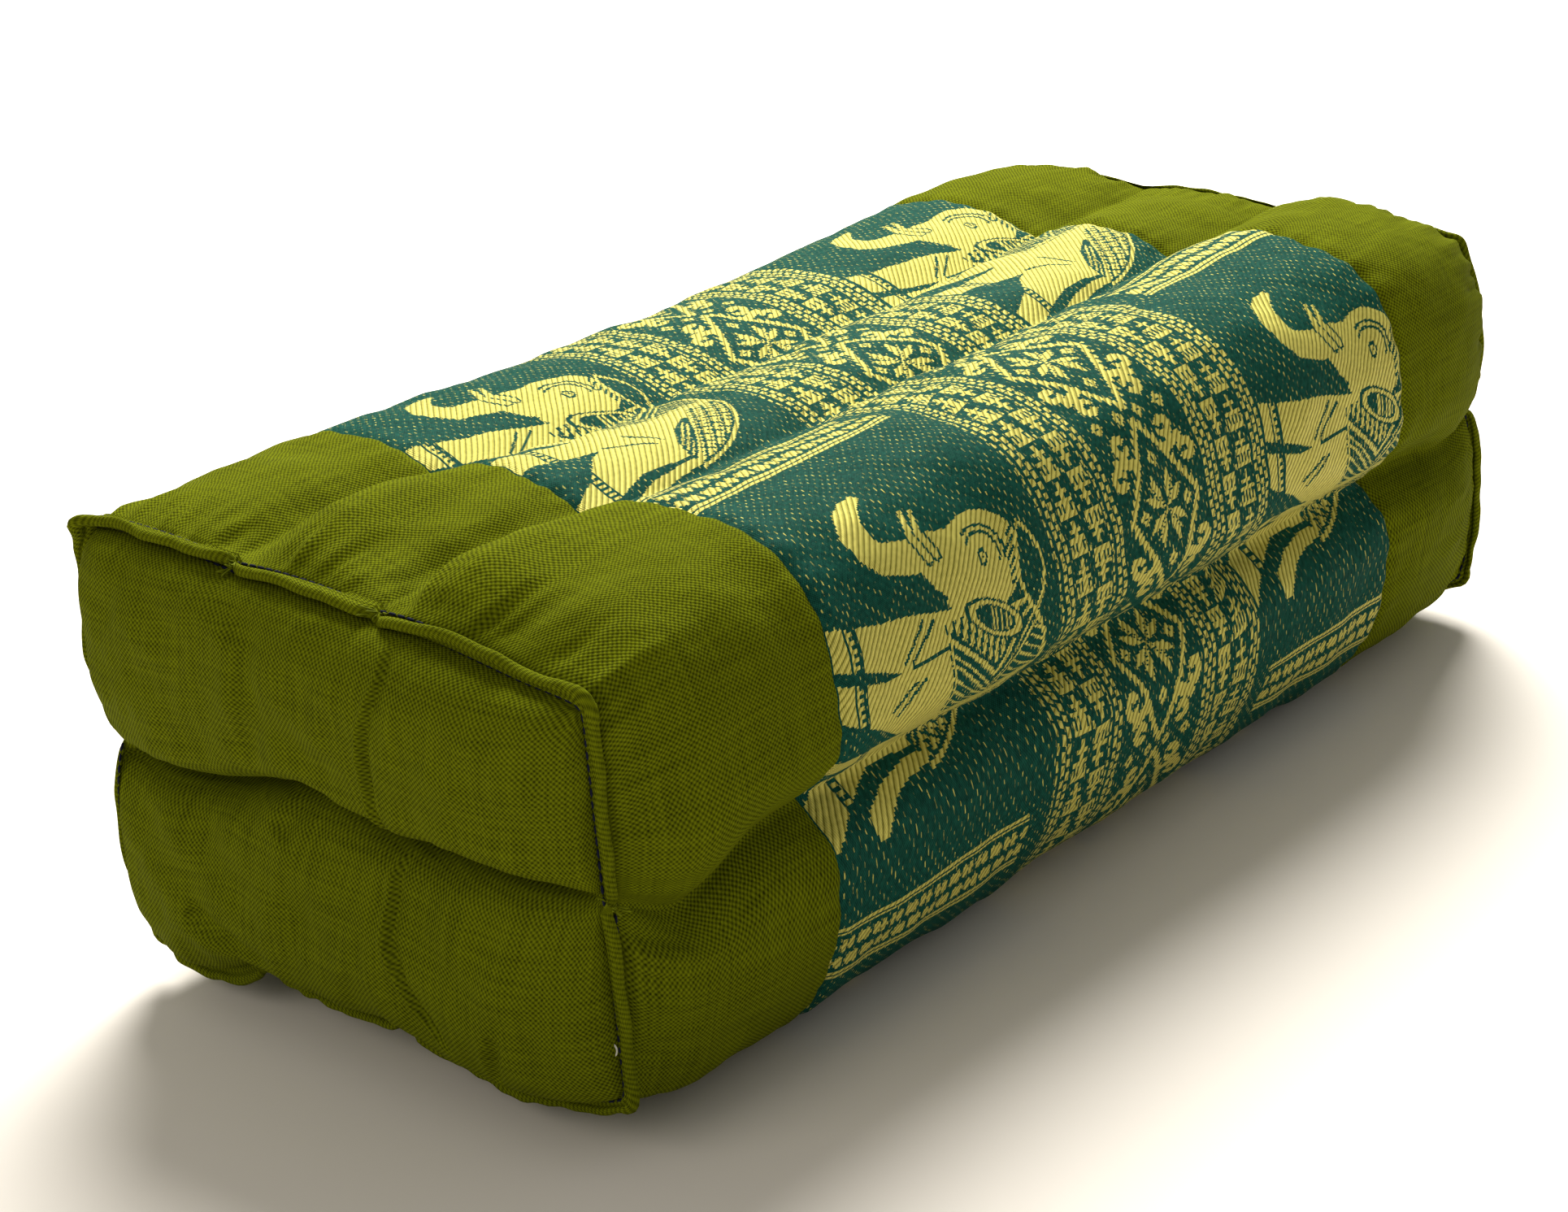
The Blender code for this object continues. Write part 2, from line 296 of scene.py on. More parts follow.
def puffed(x, z, from_seam):
    """The near end's tubes, whose left shoulders bulge beside the sewn walls."""
    reach = np.where(from_seam < PUFF_FROM_SEAM, PUFF_REACH["near"], PUFF_REACH["far"])
    near = bump((from_seam - PUFF_FROM_SEAM) / reach) * ease(from_seam / PUFF_CALM)
    near = near * ease((z - PUFF_FLOOR) / PUFF_RISE)
    rise = sum(height * bump((x - place) / reach) for place, reach, height in PUFFS)
    walls = bump((x - WALL_X) / PUFF_WALL_REACH) + bump((x + WALL_X) / PUFF_WALL_REACH)
    return x - PUFF_LEAN * walls * near, z + rise * near


def sleeve_points(rows, end):
    """The sleeve's surface at the given y rows, as an array of rows, columns and x, y, z."""
    y = np.asarray(rows, float)[:, None]
    facing = end["facing"]
    from_seam = np.clip(END_SEAM - np.abs(y), 0, None)
    short = 1 - np.clip(from_seam / SWELL_REACH, 0, 1)
    share = (1 - short ** SWELL_POWER) ** SWELL_ROUNDNESS
    shear = np.clip(1 - from_seam / end["band"], 0, None) ** 2
    tube = np.arange(TUBE_COLUMNS)[None, :] / TUBE_COLUMNS
    middle = np.arange(MIDDLE_COLUMNS)[None, :] / MIDDLE_COLUMNS
    parts = []
    for level, first, second in (("top", "right", "left"), ("bottom", "left", "right")):
        u = middle if level == "top" else 1 - middle
        strips = (
            (full_tube(tube, first, level, y), sewn_tube(tube, first, level, end)),
            (full_middle(u, level), sewn_middle(u, level, end)),
            (full_tube(1 - tube, second, level, y), sewn_tube(1 - tube, second, level, end)),
        )
        for full, sewn in strips:
            out = SEAM_SKEW * sewn[0] + facing * SIDE_BOW * seam_bow(*sewn, facing)
            x, z = mix(sewn[0], full[0], share), mix(sewn[1], full[1], share)
            if level == "top":
                z = z - shoulder_drop(x, y) * ease((z - SIDE_GROOVE_Z) / SHOULDER_RISE)
                if facing < 0:
                    x, z = puffed(x, z, from_seam)
            sag = end["sag"] * bump((from_seam - SAG_FROM_SEAM) / SAG_REACH)
            low = bump((z - SIDE_GROOVE_Z) / SAG_HALF_HEIGHT) * ease((x - SAG_FROM_X) / SAG_OVER_X)
            z = z - sag * low
            parts.append(np.stack([x, y + out * shear, z], axis=-1))
    return np.concatenate(parts, axis=1)


full_section = sleeve_points([0.0], ENDS["near"])[0][:, [0, 2]]
steps_round = np.linalg.norm(np.roll(full_section, -1, axis=0) - full_section, axis=1)
GIRTH = steps_round.sum()
round_to = np.concatenate([[0], np.cumsum(steps_round)])
top_middle = TUBE_COLUMNS + MIDDLE_COLUMNS // 2
AROUND = round_to[top_middle] - round_to
EASED_AT = (-0.4178, -0.414, -0.4, -0.387, -0.28, -0.2, -0.03, -0.014, 0.014, 0.03, 0.128, 0.1415)
EASED_ROUND = (0.003, 0.0035, 0.0035, 0, 0, -0.0041, -0.0041, -0.002, -0.002, 0, 0, 0.003)
DRAWN_AT = (-0.4178, -0.37, -0.3, -0.1, -0.056, -0.04, -0.028, -0.014, -0.004, 0.008,
            0.02, 0.03, 0.045, 0.055, 0.066, 0.08, 0.092, 0.105, 0.125, 0.1415)
DRAWN_ALONG = (-0.0025, -0.0022, 0, 0.001, 0.0025, 0.002, 0.002, 0.001, 0.001, 0.0025,
               0.001, 0.0005, 0.001, 0.003, 0.002, 0.001, 0.0003, -0.0015, -0.0025, -0.0025)
DRAWN_MIDDLE = 0.0015
DRAWN_FULL = 0.037
DRAWN_NONE = 0.051
HIDDEN_AT = (-0.4178, -0.414, -0.405, -0.395, -0.385, 0.03, 0.0365, 0.0545, 0.07, 0.128, 0.1415)
HIDDEN_ROUND = (0.008, 0.0075, 0.0052, 0.0023, 0, 0, -0.0012, -0.0046, 0, 0, 0.008)
HIDDEN_MIDDLE = 0.005
HIDDEN_FROM = 0.03
HIDDEN_OVER = 0.012


def woven_place(around, along):
    """Where a place on the sleeve is in the flat cloth, which sits a little uneven on its tubes."""
    hidden = ease((np.abs(along - HIDDEN_MIDDLE) - HIDDEN_FROM) / HIDDEN_OVER)
    around = around + np.interp(around, HIDDEN_AT, HIDDEN_ROUND) * hidden
    drawn = 1 - ease((np.abs(along - DRAWN_MIDDLE) - DRAWN_FULL) / (DRAWN_NONE - DRAWN_FULL))
    eased = np.interp(around, EASED_AT, EASED_ROUND)
    return around + eased, along + np.interp(around, DRAWN_AT, DRAWN_ALONG) * drawn


def surface_normals(points):
    """Unit normals of a grid of points that is closed round its columns."""
    across = np.roll(points, -1, axis=1) - np.roll(points, 1, axis=1)
    along = np.gradient(points, axis=0)
    normals = np.cross(across, along)
    return normals / np.linalg.norm(normals, axis=2, keepdims=True)


def grid_quads(high, wide, closed=True):
    """The faces of a grid of points, its last column joined to its first if closed."""
    index = np.arange(high * wide).reshape(high, wide)
    after = np.roll(index, -1, axis=1)
    quads = np.stack([index[:-1], after[:-1], after[1:], index[1:]], axis=-1)
    return quads[:, :wide if closed else -1].reshape(-1, 4)


def lay_cloth(made, places):
    """Gives each corner of a mesh its place on the flat cloth, in metres."""
    cloth = made.data.uv_layers.new(name="cloth")
    cloth.uv.foreach_set("vector", places.astype(np.float32).ravel())


def sleeve_mesh(name, rows, lift, materials, faces_of):
    """A length of the sleeve as an open tube of cloth."""
    points = np.concatenate([sleeve_points([y], ENDS["near" if y < 0 else "far"]) for y in rows])
    turn = -1 if rows[0] < rows[-1] else 1
    lifted = turn * lift(AROUND[None, :-1], rows[:, None])
    points = points + surface_normals(points) * lifted[:, :, None]
    points[:, :, 2] = np.maximum(points[:, :, 2], 0)
    row = np.repeat(np.arange(len(rows) - 1), COLUMNS)
    column = np.tile(np.arange(COLUMNS), len(rows) - 1)
    places = woven_place(AROUND[column[:, None] + (0, 1, 1, 0)], rows[row[:, None] + (0, 0, 1, 1)])
    quads = grid_quads(len(rows), COLUMNS)[:, ::turn]
    made = mesh_object(name, points.reshape(-1, 3), quads, *materials)
    made.data.polygons.foreach_set("material_index", faces_of(places[1].mean(axis=1)).astype(np.int32))
    lay_cloth(made, np.stack(places, axis=-1)[:, ::turn])
    return made


# The brocade: bottle green ground with figures in gold thread, woven on one warp. Two rows of
# elephants run round the sleeve and, between them, a lattice of lozenges with a border of
# dashes and comb motifs on each side. The sizes of all these figures are in millimetres.
REPEAT = GIRTH * 1000 / 4
EYE_AROUND = 97.6
NEAR_EYE_Y = -56.0
FAR_EYE_Y = 95.8
LATTICE_Y = 4.85
THREAD_STEP = (0.45, 0.6, 1)
RIB = 1.3
PICK = 0.45
WARP = 0.62
WEFT = 0.5
DASH_ROW = 1.2
DASH_PITCH = 2.9
DASH_LENGTH = 0.85
DASH_WIDTH = 0.3
BROCADE_SPECULAR = 0.02
THREAD_RELIEF = 0.0003
GREEN_DEEP = (0.003, 0.026, 0.019, 1)
GREEN_LIT = (0.012, 0.102, 0.07, 1)
GOLD_PALE = (0.7, 0.635, 0.15, 1)
GOLD_DEEP = (0.145, 0.14, 0.014, 1)
STRIPE_PLACE = REPEAT - 54.9
STRIPE_STOP = 48.0
FLOWER_PITCH = 5.0
BRICKS_START = 16.1
BRICKS_PITCH = 19.2
BRICK_COUNT = 55
BRICK_ROW = 1.78
COMBS_START = 22.1
COMBS_HEIGHT = 12.4
COMB_COUNT = 15
COMB_SHIFT = 3.3
LOZENGE_PLACE = 61.3
LOZENGE_COUNT = 3
LOZENGES_REACH = 15.6
PETALS = (((1.0, 0.75, 0.3), (4.4, 2.5, 1.35), (8.4, 3.3, 0.3)),
          ((0.8, 1.3, 0.3), (2.4, 4.2, 1.2), (4.0, 6.6, 0.3)))
BORDERS_REACH = 41.2

# The elephant's lines, as points with a brush radius, round and up from its eye
BEFORE_EYE = 38.0
FEET = -49.4
TRUNK = ((-6.5, -15.5, 4.0), (-7.4, -21.0, 3.8), (-9.2, -27.0, 3.5), (-12.6, -29.8, 3.4),
         (-16.5, -30.2, 3.4), (-20.4, -28.8, 3.0), (-23.0, -25.6, 2.3), (-24.6, -21.9, 1.2))
BODY = ((12, -10, 8.0), (20, -12, 15.5), (41, -12, 15.0))
LEGS = (((11.5, -20, 7.0), (7.2, -36, 5.0), (2.8, -50, 4.3)),
        ((23, -27, 8.6), (19.6, -37, 5.0), (14.6, -50, 3.9)),
        ((38.8, -28, 5.4), (34.6, -45.5, 4.6), (35.2, -50, 4.8)),
        ((47.5, -16, 10.5), (50.8, -30, 6.3), (56.0, -38.5, 4.3), (62.4, -49.5, 3.7)))
TAIL = ((60.2, -12, 1.5), (60.5, -21, 1.4), (62.2, -28.5, 1.7), (65.4, -35.2, 2.2))
TUSKS = (((-5.0, -14.9, 1.0), (-11.0, -17.2, 1.0), (-17.0, -15.2, 0.5)),
         ((-5.0, -12.2, 0.9), (-11.0, -14.8, 0.9), (-16.0, -12.8, 0.5)))
SKIN_FOLDS = (((6.1, -22.5, 0.42), (13.0, -30, 0.36)),
              ((7.3, -19.0, 0.42), (13.2, -27.2, 0.4), (14.8, -27.4, 0.4), (14.6, -15.5, 0.4)),
              ((18.5, -26.5, 0.4), (22.0, -34.5, 0.36)),
              ((18.7, -24.0, 0.4), (24.0, -33.0, 0.36)),
              ((40.1, -19, 0.4), (44.5, -16.6, 0.42), (48.7, -15.0, 0.3)),
              ((43.2, -28.0, 0.36), (46.0, -21.5, 0.42), (49.9, -17.6, 0.3)))
WEDGE = ((42.5, -1.6, 0.8), (47.5, -6.9, 2.3), (53.5, -11.8, 2.3), (58.6, -14.6, 0.8))

# How the cloth lies, with each size of lump as height, pitch and seed
LUMPS = ((0.00035, 0.03, 1), (0.00012, 0.011, 2))
JOIN_DEPTH = 0.0009
JOIN_HALF = 0.0013
PUCKER_HEIGHT = 0.00022
PUCKER_PITCH = 0.0075
PUCKER_REACH = 0.006
GATHER_HEIGHT = 0.0007
GATHER_REACH = 0.03
SEAM_CALM = 0.004
NOISE_WAVES = 24
BROCADE_ROWS = 165


class Wire:
    """A socket in a material's nodes, to which arithmetic adds more nodes."""

    def __init__(self, socket):
        self.socket = socket

    def node(self, kind, settings, sockets, output=0):
        """Adds a node with its settings and its sockets' values or links."""
        tree = self.socket.id_data
        made = tree.nodes.new("ShaderNode" + kind)
        for key, setting in settings.items():
            setattr(made, key, setting)
        for key, value in sockets.items():
            if isinstance(value, Wire):
                tree.links.new(value.socket, made.inputs[key])
            else:
                made.inputs[key].default_value = value
        return Wire(made.outputs[output])

    def math(self, operation, *others):
        """Arithmetic on this number and others."""
        return self.node("Math", {"operation": operation}, dict(enumerate((self, *others))))

    def vector(self, operation, *others, output=0):
        """Arithmetic on this place and others."""
        sockets = dict(enumerate((self, *others)))
        return self.node("VectorMath", {"operation": operation}, sockets, output)

    __add__ = __radd__ = partialmethod(math, "ADD")
    __mul__ = __and__ = partialmethod(math, "MULTIPLY")
    __sub__ = partialmethod(math, "SUBTRACT")
    __truediv__ = partialmethod(math, "DIVIDE")
    __lt__ = partialmethod(math, "LESS_THAN")
    __gt__ = partialmethod(math, "GREATER_THAN")
    __or__ = partialmethod(math, "MAXIMUM")
    __abs__ = partialmethod(math, "ABSOLUTE")

    def __rsub__(self, other):
        return self.node("Math", {"operation": "SUBTRACT"}, {0: other, 1: self})

    def wave(self, period):
        """A wave of the given period, from -1 to 1."""
        return (self * (math.tau / period)).math("SINE")

    def clamped(self):
        """Held between 0 and 1."""
        return self.node("Clamp", {}, {0: self})

    def raised(self, strength):
        """The lie of a surface that this height raises."""
        return self.node("Bump", {}, {"Strength": strength, "Distance": THREAD_RELIEF, "Height": self})

    def noise(self, scale, detail=2.0):
        """Soft unevenness over a flat place, from 0 to 1."""
        sockets = {"Vector": self, "Scale": scale, "Detail": detail}
        return self.node("TexNoise", {"noise_dimensions": "2D"}, sockets)

    def fold(self, period):
        """How far along its period it is, from 0 to the period."""
        return self.math("FLOORED_MODULO", period)

    def within(self, low, high):
        """1 between low and high and 0 elsewhere."""
        return (self > low) & (self < high)

    def blend(self, first, second):
        """The first colour where this is 0 and the second where it is 1."""
        sockets = {"Factor": self, 6: first, 7: second}
        return self.node("Mix", {"data_type": "RGBA"}, sockets, 2)

    def fade(self, first, second):
        """The first number where this is 0 and the second where it is 1."""
        return self * (second - first) + first


def cloth_material(name, specular):
    """A cloth's material, its shader, and the cloth's own coordinates in millimetres."""
    made, shader = new_material(name, {"Specular IOR Level": specular})
    start = Wire(shader.outputs[0])
    metres = start.node("UVMap", {"uv_map": "cloth"}, {})
    return made, shader, metres.vector("MULTIPLY", (1000, 1000, 0))


def parts_of(place):
    """The two coordinates of a place on the cloth, as numbers."""
    split = place.node("SeparateXYZ", {}, {0: place})
    return split, Wire(split.socket.node.outputs[1])


def link(shader, name, value):
    """Joins a value to one of a shader's sockets."""
    shader.id_data.links.new(value.socket, shader.inputs[name])


def brocade_cloth(name, figure):
    """The finish of the brocade, with the figure that its gold thread draws."""
    made, shader, place = cloth_material(name, BROCADE_SPECULAR)
    snapped = place.vector("SNAP", THREAD_STEP)
    around, along = parts_of(place)
    gold = figure(snapped)
    row = (along / DASH_ROW).math("FLOOR")
    strength = place.noise(0.9)
    shifted = around - row * DASH_ROW + strength * 2.0
    dash = (shifted.fold(DASH_PITCH) < DASH_LENGTH) & (along.fold(DASH_ROW) < DASH_WIDTH)
    slanted = place.node("CombineXYZ", {}, {0: (around - along) * 0.45, 1: (around + along) * 0.09})
    seen = (slanted.noise(1.0) - 0.36) * 3.4 + (strength - 0.5) * 1.6
    dash = dash & seen.clamped()
    grain = around.wave(WARP) * along.wave(WEFT)
    ground = (grain * 0.35 + strength * 0.9 - 0.05).blend(GREEN_DEEP, GREEN_LIT)
    rib = abs((around * 0.64 + along * 0.77).fold(RIB) - RIB / 2) / (RIB / 2)
    pick = (along - around * 0.2).wave(PICK) * 0.5 + 0.5
    sunk = (rib * rib * rib) * 0.95 + pick * 0.3 + (strength - 0.5) * 0.5
    yarn = sunk.clamped().blend(GOLD_PALE, GOLD_DEEP)
    shown = gold | (dash * 0.95)
    link(shader, "Base Color", shown.blend(ground, yarn))
    link(shader, "Roughness", gold.fade(0.7, 0.45))
    link(shader, "Metallic", gold * 0.2)
    relief = (1 - rib) + pick * 0.5
    link(shader, "Normal", relief.raised(gold.fade(0.35, 0.8)))
    return made


def stroke(place, start, end, wide, narrow):
    """The distance from a line drawn with a brush that narrows along it."""
    run = Vector((end[0] - start[0], end[1] - start[1], 0))
    reach = place.vector("SUBTRACT", (*start, 0))
    share = reach.vector("DOT_PRODUCT", tuple(run / run.length_squared), output=1)
    share = share.clamped()
    back = share.node("VectorMath", {"operation": "SCALE"}, {0: tuple(run), "Scale": share})
    return reach.vector("SUBTRACT", back).vector("LENGTH", output=1) - share.fade(wide, narrow)


def spot(place, centre, radii):
    """The distance from an oval."""
    scaled = place.vector("SUBTRACT", (*centre, 0)).vector("DIVIDE", (*radii, 1))
    return (scaled.vector("LENGTH", output=1) - 1) * min(radii)


def least(distances):
    """The least of several distances."""
    return reduce(lambda least_yet, distance: least_yet.math("MINIMUM", distance), distances)


def path(place, points):
    """The distance from a brush line through points of around, up and brush radius."""
    return least(stroke(place, a[:2], b[:2], a[2], b[2]) for a, b in zip(points, points[1:]))


def nearest_path(place, lines):
    """The distance from the nearest of several brush lines."""
    return least(path(place, line) for line in lines)


def elephant(snapped):
    """An elephant in a saddle cloth, walking with its trunk curled, and the upright stripe."""
    around, along = parts_of(snapped)
    u = (around - (EYE_AROUND - BEFORE_EYE)).fold(REPEAT) - BEFORE_EYE
    v = along - (along > LATTICE_Y).fade(NEAR_EYE_Y, FAR_EYE_Y)
    place = snapped.node("CombineXYZ", {}, {0: u, 1: v})
    head = spot(place, (1.0, 0.0), (11.6, 11.8))
    head = head.math("SMOOTH_MIN", stroke(place, (-1.0, -7), (-4.5, -13.5), 8.5, 6.2), 2)
    trunk = path(place, TRUNK)
    body = path(place, BODY)
    legs = nearest_path(place, LEGS)
    tail = path(place, TAIL)
    hull = spot(place, (28.6, -19.3), (34.6, 34.6))
    bulk = hull.math("MAXIMUM", -15 - v).math("MAXIMUM", 13 - u)
    bulk = body.math("SMOOTH_MIN", legs, 3).math("MINIMUM", bulk)
    shape = head.math("MINIMUM", trunk).math("MINIMUM", bulk).math("MINIMUM", tail)
    jaw = (v * 0.865 - u * 0.5 + 14.6).math("MAXIMUM", u * 0.97 - v * 0.25 - 10.2)
    throat = jaw.math("MAXIMUM", trunk * -1)
    gold = (shape < 0) & (v > FEET) & (throat > 0)
    tusks = nearest_path(place, TUSKS)
    eye = place.vector("LENGTH", output=1)
    look = place.vector("MULTIPLY", (1, 1.4, 0)).vector("LENGTH", output=1)
    dark = (abs(look - 1.7) < 0.4) | (look < 0.45)
    brow = (abs(abs(eye - 6.4) - 0.8) < 0.36) & (u < 2.5) & (v > -3.6)
    inner = (u - 7) * (u - 7) * 0.026 + 9.4
    fringe = (v - inner).within(-2.6, -0.4) & u.within(-4.6, 12.0) & ((u + v * 0.7).fold(1.9) < 0.9)
    dark = dark | brow | fringe | tusks.within(0, 0.6)
    ear = spot(place, (6.6, 8.8), (12.4, 8.0)).math("MAXIMUM", inner - v)
    ear_cloth = ear.within(-0.8, 0)
    folds = nearest_path(place, SKIN_FOLDS)
    ankle = abs(v + 44.0 - (u > 30) * 4.0)
    anklet = (abs(ankle - 1.3) < 0.34) | ((ankle < 0.7) & (u.fold(1.8) < 0.9))
    dark = dark | (folds < 0) | (anklet & (tail > 0))
    shade = abs(v + 1.0) * 0.92 + u
    saddle = (shade > 9) & (v > -15.6) & u.within(9.6, 34.0) & (bulk < -0.9)
    lines = (abs(shade - 31.6) < 0.5) | (abs(shade - 29.4) < 0.4) | (abs(shade - 26.2) < 0.8)
    lines = lines | ((shade < 24.0) & ((v + u * 0.3).fold(2.3) < 1.3))
    lines = lines | (abs(v + 15.0) < 0.35) | (abs(u - 33.2) < 0.35)
    lines = lines | ((shade > 32.6) & ((u - v * 0.8).fold(2.6) < 0.7))
    turned = place.node("CombineXYZ", {}, {0: u - v * 0.5, 1: v})
    medal = spot(turned, (13.8, 0.2), (3.6, 7.6))
    medal_gold = (abs(medal + 0.1) < 0.45) | ((medal < -1.0) & (v > -2.5) & (v.fold(1.6) < 0.7))
    slope = u * 0.61 + v * 0.79
    rump = hull.math("MAXIMUM", 26.0 - slope).math("MAXIMUM", 37.0 - u).math("MAXIMUM", -15 - v)
    row = (slope / 2.7).math("FLOOR")
    scale = (u * 0.79 - v * 0.61 + row * 1.7).fold(3.4)
    net = (slope.fold(2.7) < 0.62) | (scale < 0.62)
    net = net | ((abs(scale - 2.0) < 0.3) & (slope.fold(2.7) > 1.5))
    rump_gold = (hull > -1.0) | ((hull < -1.7) & (1 - net))
    wedge = path(place, WEDGE)
    wedge_gold = (wedge < -0.9) & ((u + v).fold(1.8) < 0.7)
    drawn = gold & (1 - dark)
    for edge, figure in ((saddle, lines), (rump < 0, rump_gold), (wedge < 0, wedge_gold),
                         (medal < 0.9, medal_gold), (ear < 0, ear_cloth)):
        drawn = drawn & (1 - edge) | (edge & figure)
    drawn = drawn | (tusks < 0)
    return drawn | stripe(u, along)


def stripe(u, along):
    """The upright stripe between two elephants: fine and bold lines round two rows of flowers."""
    across = u - STRIPE_PLACE
    lines = (abs(across + 7.0) < 0.3) | (abs(across + 5.7) < 0.3)
    lines = lines | (abs(across - 5.7) < 0.42) | (abs(across - 7.2) < 0.42)
    side = (across > 0) * (FLOWER_PITCH / 2)
    petal = (along + side).fold(FLOWER_PITCH) - FLOWER_PITCH / 2
    far = abs(abs(across) - 2.5)
    flowers = (abs(abs(petal) - 1.0) + abs(far - 0.9) < 1.05) | ((far < 0.4) & (abs(petal) < 2.1))
    return (lines | (flowers & (abs(across) < 4.9))) & (abs(along - LATTICE_Y) > STRIPE_STOP)


def borders(snapped):
    """The lattice of lozenges between its two borders of dashes and comb motifs."""
    around, along = parts_of(snapped)
    away = abs(along - LATTICE_Y)
    figures = lattice(around, away) | combs(around, away - COMBS_START)
    return figures | dashes(around, away - BRICKS_START)


def dashes(around, across):
    """Two bands of three rows of dashes set like bricks, each dash split by a dark line."""
    band = across.fold(BRICKS_PITCH)
    row = (band / BRICK_ROW).math("FLOOR")
    in_row = band.fold(BRICK_ROW)
    dash = (around + row * 1.23).fold(REPEAT / BRICK_COUNT) < 1.72
    return dash & (abs(abs(in_row - 0.9) - 0.38) < 0.27) & (band < 3 * BRICK_ROW) & (across > 0)


def combs(around, across):
    """Pairs of comb-shaped blocks, the second of each pair turned end for end."""
    pitch = REPEAT / COMB_COUNT
    second = across > COMBS_HEIGHT / 2
    a = second.fade(across, COMBS_HEIGHT - across)
    b = (around + COMB_SHIFT).fold(pitch)
    b = second.fade(b, pitch - b)
    arm = abs(a - 2.75)
    bars = (b < 1.15) | (abs(b - 4.0) < 0.5) | ((abs(b - 6.1) < 0.45) & (arm < 1.8))
    teeth = (arm < 0.55) | (abs(arm - 1.35) < 0.34) & (b < 4.4) | ((arm > 2.0) & (b < 2.9))
    block = (bars | teeth) & (arm < 2.65) & (b < 8.4)
    middle = abs(across - COMBS_HEIGHT / 2) < 0.35
    tick = middle & (abs((around + COMB_SHIFT).fold(pitch) - 8.4) < 0.6)
    return (block | tick) & across.within(0, COMBS_HEIGHT)


def lattice(around, v):
    """A row of lozenges, each round an eight-petalled flower, with hooked scrolls outside."""
    pitch = REPEAT / LOZENGE_COUNT
    u = abs((around - LOZENGE_PLACE + pitch / 2).fold(pitch) - pitch / 2)
    place = around.node("CombineXYZ", {}, {0: u, 1: v})
    ragged = (v.fold(1.2) < 0.6) * 0.45
    outline = abs(u * 0.502 + v * 0.864 - 10.8 - ragged * 0.6) < 0.62 + ragged
    petals = nearest_path(place, PETALS)
    rays = abs(u * 0.61 - v * 0.79)
    centre = (petals < 0) & (rays > 0.42) | ((rays < 0.2) & (u < 6.3))
    waist = pitch / 2 - u
    figures = (outline & (waist > 1.0)) | centre | bead(u - 12.0, v) | bead(u, v - 8.2)
    figures = figures | bead(waist, v - 3.7) | bead(waist, v - 11.2)
    figures = figures | curl(u - 17.4, v - 8.2) | curl(10.6 - u, v - 12.4)
    stem = stroke(place, (12.4, 5.8), (14.2, 11.4), 1.3, 1.2)
    return (figures | (stem < 0)) & (v < LOZENGES_REACH)


def bead(a, b):
    """A small diamond with a hole."""
    return (abs(a) * 0.86 + abs(b)).within(0.5, 1.75)


def curl(a, b):
    """A thick hook curled round a small hole, open on one side."""
    size = (a * a + b * b * 1.1).math("SQRT")
    gap = (abs(a + b * 0.5 + 0.6) < 0.5) & (b < 0)
    return size.within(0.7, 2.8) & (1 - gap)


def weave_noise(around, along, pitch, seed):
    """Smooth unevenness over the cloth, which joins up round the sleeve."""
    draw = np.random.default_rng(seed)
    total = np.zeros(np.broadcast(around, along).shape)
    for _ in range(NOISE_WAVES):
        turns = np.round(GIRTH / pitch * draw.normal(0, 0.7))
        waves = draw.normal(0, 0.7) / pitch
        total += np.sin(2 * np.pi * (turns * around / GIRTH + waves * along + draw.random()))
    return total / math.sqrt(NOISE_WAVES / 2)


def at_joins(along, reach):
    """1 at the two joins between brocade and bands, falling to nothing round them."""
    return bump((along - NEAR_JOIN) / reach) + bump((along - FAR_JOIN) / reach)


def sleeve_lift(around, along):
    """How the cloth lies on the stuffing: lumps, gathers at the ends, puckers and sunk joins."""
    lumps = sum(height * weave_noise(around, along, pitch, seed) for height, pitch, seed in LUMPS)
    puckers = PUCKER_HEIGHT * np.sin(around * math.tau / PUCKER_PITCH + 3 * np.sin(around * 40))
    end = np.clip(1 - (END_SEAM - np.abs(along)) / GATHER_REACH, 0, 1) ** 2
    gathers = GATHER_HEIGHT * end * weave_noise(around, along * 0.15, 0.009, 3)
    calm = np.clip((END_SEAM - np.abs(along)) / SEAM_CALM, 0, 1)
    lift = (lumps + puckers * at_joins(along, PUCKER_REACH) + gathers) * calm
    return lift - JOIN_DEPTH * at_joins(along, JOIN_HALF)


brocade_rows = np.linspace(NEAR_JOIN, FAR_JOIN, BROCADE_ROWS)
elephants_cloth = brocade_cloth("brocade_elephants", elephant)
borders_cloth = brocade_cloth("brocade_borders", borders)
sleeve = sleeve_mesh("brocade_cloth", brocade_rows, sleeve_lift, [elephants_cloth, borders_cloth],
                     lambda y: np.abs(y * 1000 - LATTICE_Y) < BORDERS_REACH)
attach(sleeve, "root")
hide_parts("brocade_sleeve")

# The two bands: plain olive cotton of a coarse, slightly slubby weave, cut as wide as the
# sleeve and sewn to the brocade with a flat seam.
COTTON_LIT = (0.173, 0.204, 0.0038, 1)
COTTON_DEEP = (0.0195, 0.023, 0.0005, 1)
COTTON_THREAD = 0.57
COTTON_SPECULAR = 0.015
COTTON_ROUGHNESS = 0.9
BAND_ROWS = 49
BAND_CROWDING = 1.4


